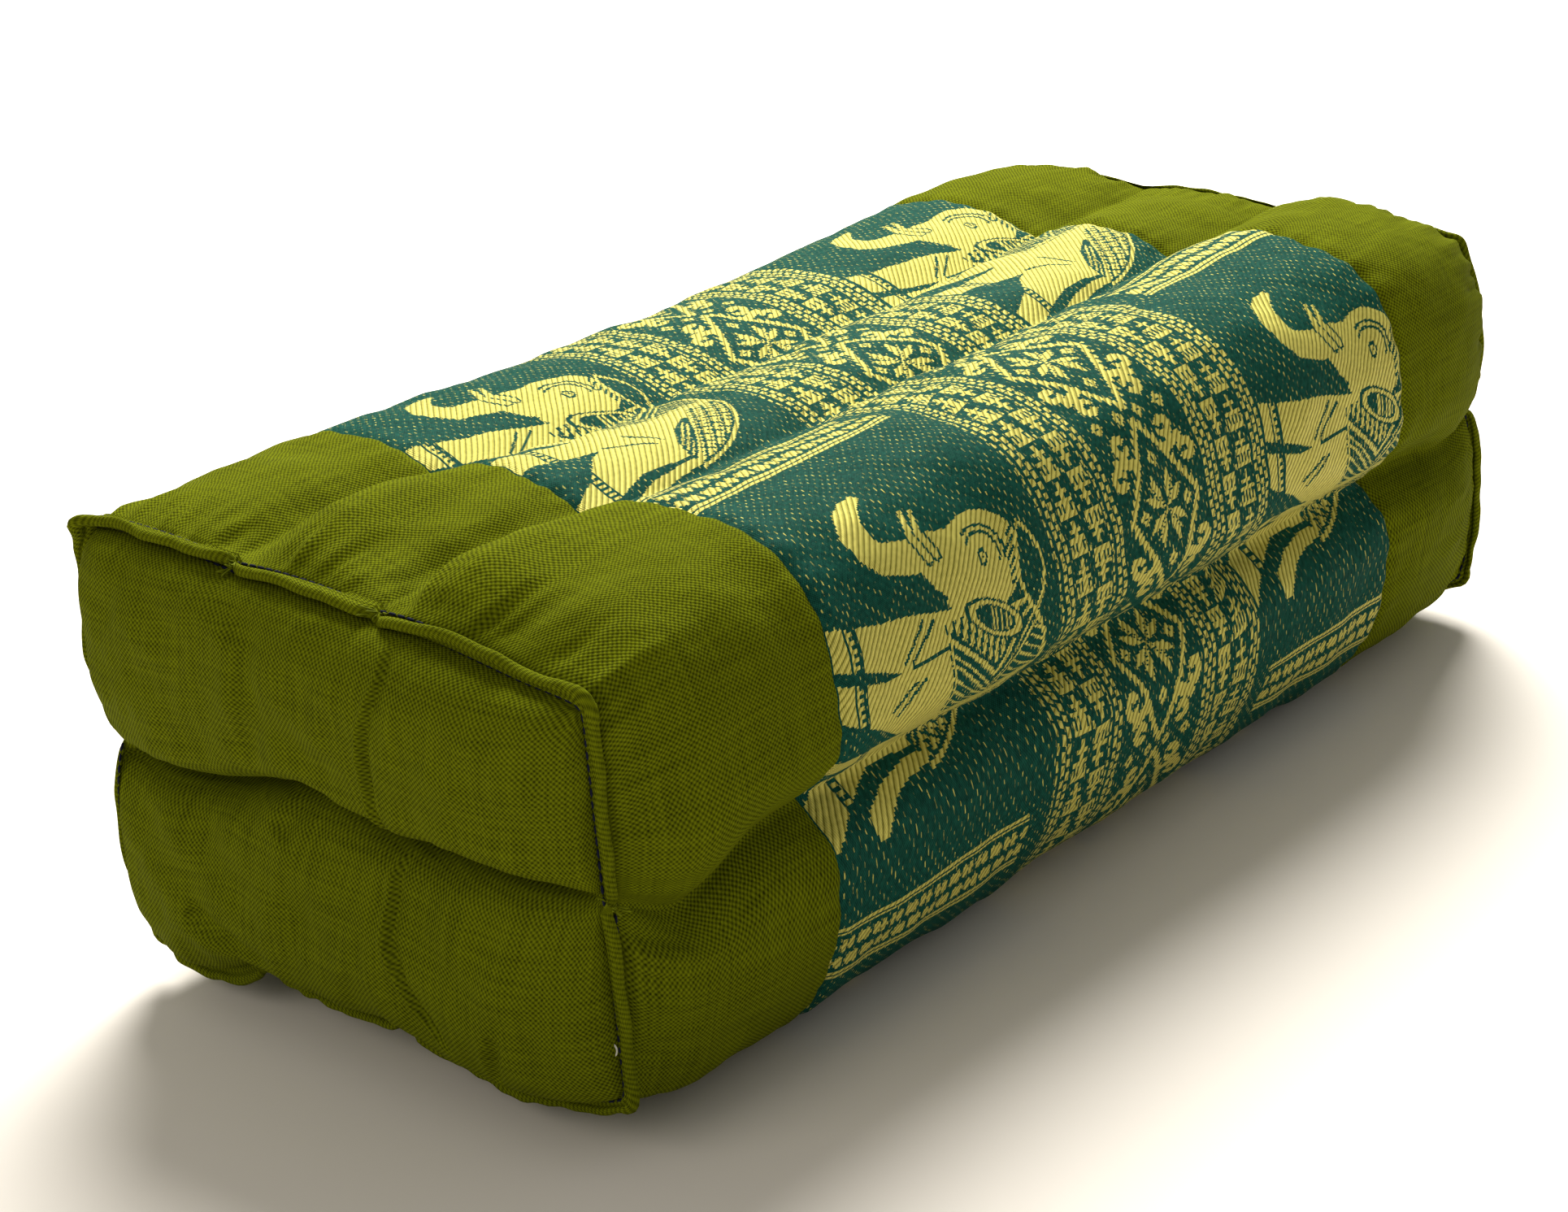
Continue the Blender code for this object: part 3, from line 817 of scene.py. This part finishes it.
def cotton_cloth(name):
    """The cotton: round threads over and under each other, some thick and some thin."""
    made, shader, place = cloth_material(name, COTTON_SPECULAR)
    uneven = place.noise(0.35, 3.0)
    place = uneven.vector("MULTIPLY_ADD", (0.5, 0.5, 0), place)
    around, along = parts_of(place)
    over = around.wave(2 * COTTON_THREAD) * along.wave(2 * COTTON_THREAD)
    slub = place.vector("MULTIPLY", (0.04, 1.4, 0)).noise(1.0)
    cross = place.vector("MULTIPLY", (1.4, 0.05, 0)).noise(1.0)
    tone = over * 0.4 + (slub + cross) * 0.34 + 0.12
    link(shader, "Base Color", tone.clamped().blend(COTTON_DEEP, COTTON_LIT))
    shader.inputs["Roughness"].default_value = COTTON_ROUGHNESS
    link(shader, "Normal", (over + slub).raised(0.35))
    return made


cotton = cotton_cloth("plain_cotton_cloth")
for name, end in ENDS.items():
    facing = end["facing"]
    join = NEAR_JOIN if facing < 0 else FAR_JOIN
    shares = np.linspace(0, 1, BAND_ROWS) ** BAND_CROWDING
    rows = facing * END_SEAM + (join - facing * END_SEAM) * shares
    rows[0] = facing * END_SEAM
    band = sleeve_mesh(f"band_cloth_{name}", rows, sleeve_lift, [cotton], lambda y: y * 0)
    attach(band, "root")
    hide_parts(f"cotton_band_{name}")

# The end panels: one piece of the same cotton each, crowned by the six tubes behind it, with
# a deep crease between the upper and lower tubes and pleats where the walls pull. Each is
# sewn on with its edge and the band's folded outwards together.
PANEL_SQUARENESS = 6
PANEL_EDGE = 0.5
PANEL_LUMPS = ((0.0005, 0.022, 7), (0.00018, 0.009, 17))
CREASE_DEPTH = 0.0088
CREASE_REACH = 0.026
CREASE_LIP = 0.0052
CREASE_LIP_REACH = 0.0065
CREASE_HUMP = 0.0072
CREASE_HUMP_X = -0.01
CREASE_HUMP_REACH = 0.022
CREASE_FALL = 0.0045
CREASE_FALL_FROM = 0.045
CREASE_FALL_OVER = 0.06
CREASE_SLIT = 0.003
CREASE_SLIT_REACH = 0.0013
CREASE_ROLL = 0.0016
CREASE_ROLL_ABOVE = 0.0075
CREASE_ROLL_REACH = 0.004
# Each fold's depth, ridge, width and line
FOLDS = (
    (0.0011, 0.0013, 0.001, (
        (0.0178, 0.109), (0.0261, 0.106), (0.027, 0.1002), (0.0226, 0.0902), (0.0197, 0.0811),
        (0.018, 0.072), (0.0208, 0.061))),
    (0.0016, 0.0009, 0.0036, (
        (-0.027, 0.11), (-0.024, 0.106), (-0.015, 0.099), (-0.0165, 0.085), (-0.0239, 0.0684))),
    (0.0012, 0.0012, 0.0011, (
        (0.0212, 0.059), (0.0203, 0.0507), (0.0199, 0.0421), (0.0221, 0.0341), (0.0256, 0.0258),
        (0.0335, 0.018))),
    (0.0012, 0.0005, 0.003, ((-0.0106, 0.066), (-0.0163, 0.0554))),
    (0.0016, 0.0008, 0.0016, ((0.048, 0.029), (0.043, 0.015))),
    (0.002, 0.0012, 0.003, ((-0.048, 0.027), (-0.036, 0.0225), (-0.023, 0.018))),
)
FOLD_DRAW = 0.001
FOLD_DRAW_REACH = 0.009
RIM_SECTION = ((-0.12, -0.5), (0.02, -0.04), (0.14, -0.14), (0.3, -0.18), (0.41, -0.02), (0.47, 0.26),
               (0.53, -0.02), (0.64, -0.18), (0.82, -0.16), (0.95, 0.06), (1.00, 0.45), (0.96, 0.88),
               (0.84, 1.12), (0.66, 1.16), (0.54, 1.00), (0.48, 0.74), (0.42, 1.00), (0.3, 1.16),
               (0.12, 1.08), (0.02, 1.02), (-0.12, 1.5))
RIM_WIDTH = 0.0045
RIM_THICKNESS = 0.0018
RIM_LEAN = 26
RIM_TOP_LEAN = {-1: 66, 1: 84}
RIM_TOP_START = 0.9
RIM_BOW_LEAN = -15
RIM_UNEVENNESS = 0.06
RIM_SWING = 0.16
RIM_CLOTH = 0.004
RIM_BIAS = 0.8
TURN_X = 0.066
PINCHES = np.cumsum([0, TUBE_COLUMNS, MIDDLE_COLUMNS, TUBE_COLUMNS, TUBE_COLUMNS, MIDDLE_COLUMNS])
PINCH_SHARE = 0.6
PINCH_REACH = 0.003
PINCH_STEP = 0.0009
PINCH_STEP_REACH = 0.01
PINCH_STEP_START = 0.0012
CORNERS = TUBE_COLUMNS // 2 + np.cumsum(
    [0, TUBE_COLUMNS + MIDDLE_COLUMNS, TUBE_COLUMNS, TUBE_COLUMNS + MIDDLE_COLUMNS])
CORNER_POINTS = (0.55, 0.6, 0.35, 0.45)
CORNER_REACH = 0.0026
UPRIGHT_SHARE = 0.6
TOP_END_SHARE = 0.78
FAR_TOP_SHARE = 0.45


def off_line(x, z, line):
    """How far points are from a line, to one side of it or the other, and its fading at its ends."""
    nearest = np.full(x.shape, 9.0)
    side = np.zeros(x.shape)
    fade = np.zeros(x.shape)
    for k, ((ax, az), (bx, bz)) in enumerate(zip(line, line[1:])):
        run_x, run_z = bx - ax, bz - az
        share = np.clip(((x - ax) * run_x + (z - az) * run_z) / (run_x ** 2 + run_z ** 2), 0, 1)
        off_x, off_z = x - ax - share * run_x, z - az - share * run_z
        distance = np.hypot(off_x, off_z)
        closer = distance < nearest
        nearest = np.where(closer, distance, nearest)
        side = np.where(closer, np.where(run_x * off_z - run_z * off_x > 0, 1, -1), side)
        fade = np.where(closer, (k + share) / (len(line) - 1), fade)
    return nearest * side, 1 - np.abs(2 * fade - 1) ** 6


def panel_dip(x, z):
    """How far the crease and the folds draw the panel in."""
    above = z - SIDE_GROOVE_Z - CREASE_HUMP * bump((x - CREASE_HUMP_X) / CREASE_HUMP_REACH)
    above = above + CREASE_FALL * ease((CREASE_FALL_FROM - x) / CREASE_FALL_OVER)
    dip = CREASE_DEPTH * notch(above, CREASE_REACH) + CREASE_LIP * notch(above, CREASE_LIP_REACH)
    dip = dip + CREASE_SLIT * bump(above / CREASE_SLIT_REACH)
    dip = dip - CREASE_ROLL * bump((above - CREASE_ROLL_ABOVE) / CREASE_ROLL_REACH)
    for depth, height, width, line in FOLDS:
        off, fade = off_line(x, z, line)
        valley = depth * bump((off - width * 0.8) / width)
        ridge = height * bump((off + width * 0.9) / width)
        dip = dip + (valley - ridge + FOLD_DRAW * notch(off, FOLD_DRAW_REACH)) * fade
    return dip


def panel_points(facing, seam):
    """The panel's surface as a grid stretched between the four sides of its seam, and its cloth."""
    seam = np.stack([seam, (seam + np.roll(seam, -1, axis=0)) / 2], axis=1).reshape(-1, 3)
    half, side = TUBE_COLUMNS, 2 * TUBE_COLUMNS
    across = 2 * (TUBE_COLUMNS + MIDDLE_COLUMNS)
    top = seam[half:half + across + 1]
    left = seam[half + across:half + across + side + 1]
    bottom = seam[half + across + side:half + 2 * across + side + 1][::-1]
    right = seam[(half - np.arange(side + 1)) % len(seam)]
    u = np.linspace(0, 1, across + 1)[None, :, None]
    v = np.linspace(0, 1, side + 1)[:, None, None]
    flat = mix(top[None], bottom[None], v) + mix(right[:, None], left[:, None], u)
    flat = flat - mix(mix(top[0], top[-1], u), mix(bottom[0], bottom[-1], u), v)
    crown = (1 - np.abs(2 * u - 1) ** PANEL_SQUARENESS) * (1 - np.abs(2 * v - 1) ** PANEL_SQUARENESS)
    x, z = flat[:, :, 0], flat[:, :, 2]
    full = LENGTH / 2 - np.abs(flat[:, :, 1])
    rise = full - panel_dip(-facing * x, z)
    lumps = sum(height * weave_noise(x, z, pitch, seed + facing) for height, pitch, seed in PANEL_LUMPS)
    share = crown[:, :, 0] ** PANEL_EDGE
    smooth = flat.copy()
    smooth[:, :, 1] += facing * full * share
    flat[:, :, 1] += facing * (rise + lumps) * share
    return flat, lie_of(smooth)


def lie_of(grid):
    """Cloth coordinates of a grid that follow its surface, from its middle outwards."""
    places = []
    for axis in (1, 0):
        steps = np.linalg.norm(np.diff(grid, axis=axis), axis=2)
        start = np.zeros_like(np.take(steps, [0], axis))
        length = np.concatenate([start, np.cumsum(steps, axis=axis)], axis=axis)
        places.append(length - np.take(length, [length.shape[axis] // 2], axis))
    return np.stack(places, axis=-1)


def rim_lean(x, z, facing):
    """The rim's lean: far over the panel along the top, and back where an upright bows."""
    over_top = ease((z / SEAM_TOP - RIM_TOP_START) / (1 - RIM_TOP_START))
    over_top = over_top * (1 - ease((x - SEAM_DROP_START) / SEAM_DROP_LENGTH))
    lean = mix(RIM_LEAN, RIM_TOP_LEAN[facing], over_top)
    return np.radians(mix(lean, RIM_BOW_LEAN, seam_bow(x, z, facing)))


def seam_frame(facing, seam):
    """The directions in which the rim stands up from the seam and in which it is thick."""
    before, after = np.roll(seam, 1, axis=0), np.roll(seam, -1, axis=0)
    run = (after - before)[:, [0, 2]]
    run /= np.linalg.norm(run, axis=1, keepdims=True)
    outward = np.stack([run[:, 1], 0 * run[:, 0], -run[:, 0]], axis=1)
    forward = np.array([0, facing, 0])
    lean = rim_lean(seam[:, 0], seam[:, 2], facing)[:, None]
    stand = outward * np.cos(lean) + forward * np.sin(lean)
    thick = -outward * np.sin(lean) + forward * np.cos(lean)
    return stand, thick


def lies_down(seam, facing):
    """1 along the far seam's top, where the rim and its stitches are hidden."""
    return ease((seam[:, 2] - 0.098) / 0.004) * ease((TURN_X - seam[:, 0]) / 0.01) * (facing > 0)


def rim_points(facing, seam, stand, thick, along):
    """The folded rim as a strip of loops, uneven and pinched at the walls."""
    width = 1 + RIM_UNEVENNESS * weave_noise(along, 0 * along, 0.011, 21 + facing)[:, None]
    upright = ease((np.abs(seam[:, 0]) - TURN_X) / 0.004) * ease((0.106 - seam[:, 2]) / 0.008)
    top_end = ease((seam[:, 0] - 0.04) / 0.025) * (1 - upright)
    shares = mix(1, UPRIGHT_SHARE, upright) * mix(1, TOP_END_SHARE, top_end)
    shares = shares * mix(1, FAR_TOP_SHARE, lies_down(seam, facing))
    width = width * shares[:, None]
    total = along[-1] + along[1]
    step = np.zeros(len(seam))
    for at in along[PINCHES]:
        off = (along - at + total / 2) % total - total / 2
        width = width * (1 - PINCH_SHARE * bump(off / PINCH_REACH))[:, None]
        fall = np.exp(-np.abs(off) / PINCH_STEP_REACH) * ease(np.abs(off) / PINCH_STEP_START)
        step -= PINCH_STEP * np.sign(off) * fall
    for at, point in zip(along[CORNERS], CORNER_POINTS):
        width = width * (1 + point * bump((along - at) / CORNER_REACH))[:, None]
    seam = seam + thick * (step * (1 - lies_down(seam, facing)))[:, None]
    swing = RIM_SWING * weave_noise(along, 0 * along, 0.02, 31 + facing)[:, None]
    loops = []
    for stand_share, thick_share in RIM_SECTION:
        reach = RIM_WIDTH * stand_share * width
        sway = thick * swing * RIM_WIDTH * max(stand_share, 0) ** 2 * 0.6
        loops.append(seam + stand * reach + thick * thick_share * RIM_THICKNESS + sway)
    return np.stack(loops)


def grid_object(name, grid, uv, closed, facing, material):
    """A grid of points as an outward mesh of cloth, its columns joined up if closed."""
    quads = grid_quads(*grid.shape[:2], closed)[:, ::-facing]
    made = mesh_object(name, grid.reshape(-1, 3), quads, material)
    lay_cloth(made, uv.reshape(-1, 2)[quads])
    return made


def seam_of(end):
    """An end's facing, its seam, the rim's two directions there and how far along each point is."""
    facing = end["facing"]
    seam = sleeve_points([facing * END_SEAM], end)[0]
    steps = np.linalg.norm(np.roll(seam, -1, axis=0) - seam, axis=1)
    return facing, seam, *seam_frame(facing, seam), np.concatenate([[0], np.cumsum(steps)[:-1]])


for name, end in ENDS.items():
    facing, seam, stand, thick, along = seam_of(end)
    grid, lie = panel_points(facing, seam + thick * RIM_THICKNESS)
    panel = grid_object(f"panel_cloth_{name}", grid, lie, False, facing, cotton)
    strip = rim_points(facing, seam, stand, thick, along)
    up = [math.dist(a, b) * RIM_CLOTH for a, b in zip(RIM_SECTION, RIM_SECTION[1:])]
    up = np.cumsum([0.0] + up)[:, None]
    bias = np.stack([along[None, :] + up * RIM_BIAS, np.broadcast_to(up, strip.shape[:2])], -1)
    rim = grid_object(f"rim_cloth_{name}", strip, bias, True, facing, cotton)
    for piece, fill in ((panel, 0.85), (rim, 0.1)):
        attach(piece, "root")
        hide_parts(f"end_panel_{name}")

# The sewing: a line of dark navy machine stitches on each side of every rim, along its foot.
NAVY_LIT = (0.014, 0.017, 0.042, 1)
NAVY_DEEP = (0.004, 0.005, 0.014, 1)
THREAD_ROUGHNESS = 0.75
THREAD_SPECULAR = 0.05
THREAD_SIDES = 6
STITCH_LENGTH = 0.0026
STITCH_GAPS = (0.0002, 0.0003)
STITCH_RADIUS = 0.00032
STITCH_LIES = -0.0002
STITCH_HIDES = 0.0009


def thread_material(name, deep, lit):
    """Spun thread, a little lighter and darker along its length."""
    sockets = {"Base Color": lit, "Roughness": THREAD_ROUGHNESS, "Specular IOR Level": THREAD_SPECULAR}
    made, shader = new_material(name, sockets)
    place = Wire(shader.outputs[0]).node("TexCoord", {}, {}, 3)
    twist = place.node("TexNoise", {}, {"Vector": place, "Scale": 900.0})
    link(shader, "Base Color", twist.blend(deep, lit))
    return made


navy_thread = thread_material("navy_thread", NAVY_DEEP, NAVY_LIT)


def thread_points(line, radius):
    """A thin tube round a line of points, tapered shut at its ends, as points and faces."""
    line = np.asarray(line, float)
    run = np.gradient(line, axis=0)
    run /= np.linalg.norm(run, axis=1, keepdims=True)
    side = np.cross(run, (0.31, 0.47, 0.83))
    side /= np.linalg.norm(side, axis=1, keepdims=True)
    other = np.cross(run, side)
    turn = np.arange(THREAD_SIDES) * math.tau / THREAD_SIDES
    size = np.full(len(line), radius)
    size[0] = size[-1] = radius * 0.25
    ring = side[:, None] * np.cos(turn)[None, :, None] + other[:, None] * np.sin(turn)[None, :, None]
    points = (line[:, None] + ring * size[:, None, None]).reshape(-1, 3)
    index = list(range(len(points)))
    caps = [index[:THREAD_SIDES][::-1], index[-THREAD_SIDES:]]
    return points, grid_quads(len(line), THREAD_SIDES).tolist() + caps


def threads_object(name, lines, radius, material):
    """Many thin threads as one mesh."""
    points, faces = [], []
    for line in lines:
        more, around = thread_points(line, radius)
        faces += [[i + len(points) for i in face] for face in around]
        points += more.tolist()
    return mesh_object(name, points, faces, material)


for name, end in ENDS.items():
    facing, seam, stand, thick, along = seam_of(end)
    total = along[-1] + np.linalg.norm(seam[0] - seam[-1])
    at = np.concatenate([along, [total]])
    sunk = mix(STITCH_LIES, STITCH_HIDES, lies_down(seam, facing))[:, None]
    feet = (seam + stand * 0.0004 + thick * sunk,
            seam + stand * 0.0006 + thick * (RIM_THICKNESS - 0.0001 - sunk))
    lines = []
    for foot in feet:
        closed = np.concatenate([foot, foot[:1]])
        for start in np.arange(0, total - STITCH_LENGTH, STITCH_LENGTH):
            spots = np.linspace(start + STITCH_GAPS[0], start + STITCH_LENGTH - STITCH_GAPS[1], 5)
            lines.append(np.stack([np.interp(spots, at, closed[:, axis]) for axis in range(3)], axis=1))
    stitches = threads_object(f"stitches_{name}", lines, STITCH_RADIUS, navy_thread)
    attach(stitches, "root")

# The loose ends: frayed cotton threads at three pinches of the near rim, two of them along its
# top, a navy thread end hanging from its left corner and a scrap of pale lint on its right upright.
FRAY_COUNT = 9
FRAY_LENGTH = 0.003
LOOSE_RADIUS = 0.00022
LINT_RADIUS = 0.00018
fray_thread = thread_material("fray_thread", (0.03, 0.036, 0.001, 1), (0.2, 0.24, 0.005, 1))
lint_thread = thread_material("lint_thread", (0.3, 0.3, 0.25, 1), (0.62, 0.6, 0.52, 1))


def loose_end(start, end, bend):
    """A short thread from one place to another, bent sideways by the vector bend."""
    share = np.linspace(0, 1, 9)[:, None]
    return mix(np.array(start), np.array(end), share) + np.array(bend) * np.sin(math.pi * share)


_, near_seam, near_stand, _, _ = seam_of(ENDS["near"])
draw = np.random.default_rng(5)
frays = []
for column in PINCHES[:3]:
    for _ in range(FRAY_COUNT):
        spread = (draw.random(3) - 0.5) * 2
        root = near_seam[column] + near_stand[column] * 0.001 + spread * 0.0007
        tip = root + near_stand[column] * FRAY_LENGTH * draw.uniform(0.3, 0.9) + spread * 0.002
        frays.append(loose_end(root, tip, draw.normal(0, 0.0004, 3)))
hanging = [loose_end((-0.0752, -0.1668, 0.1085), (-0.0768, -0.1676, 0.103), (-0.0007, 0, 0.0004))]
lint = [loose_end((0.0735, -0.164, 0.0306), (0.0742, -0.1646, 0.0284), (0.0006, 0, 0.0002))]
for name, lines, radius, material in (("frayed_ends", frays, LOOSE_RADIUS, fray_thread),
                                      ("hanging_end", hanging, LOOSE_RADIUS, navy_thread),
                                      ("lint", lint, LINT_RADIUS, lint_thread)):
    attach(threads_object(name, lines, radius, material), "root")
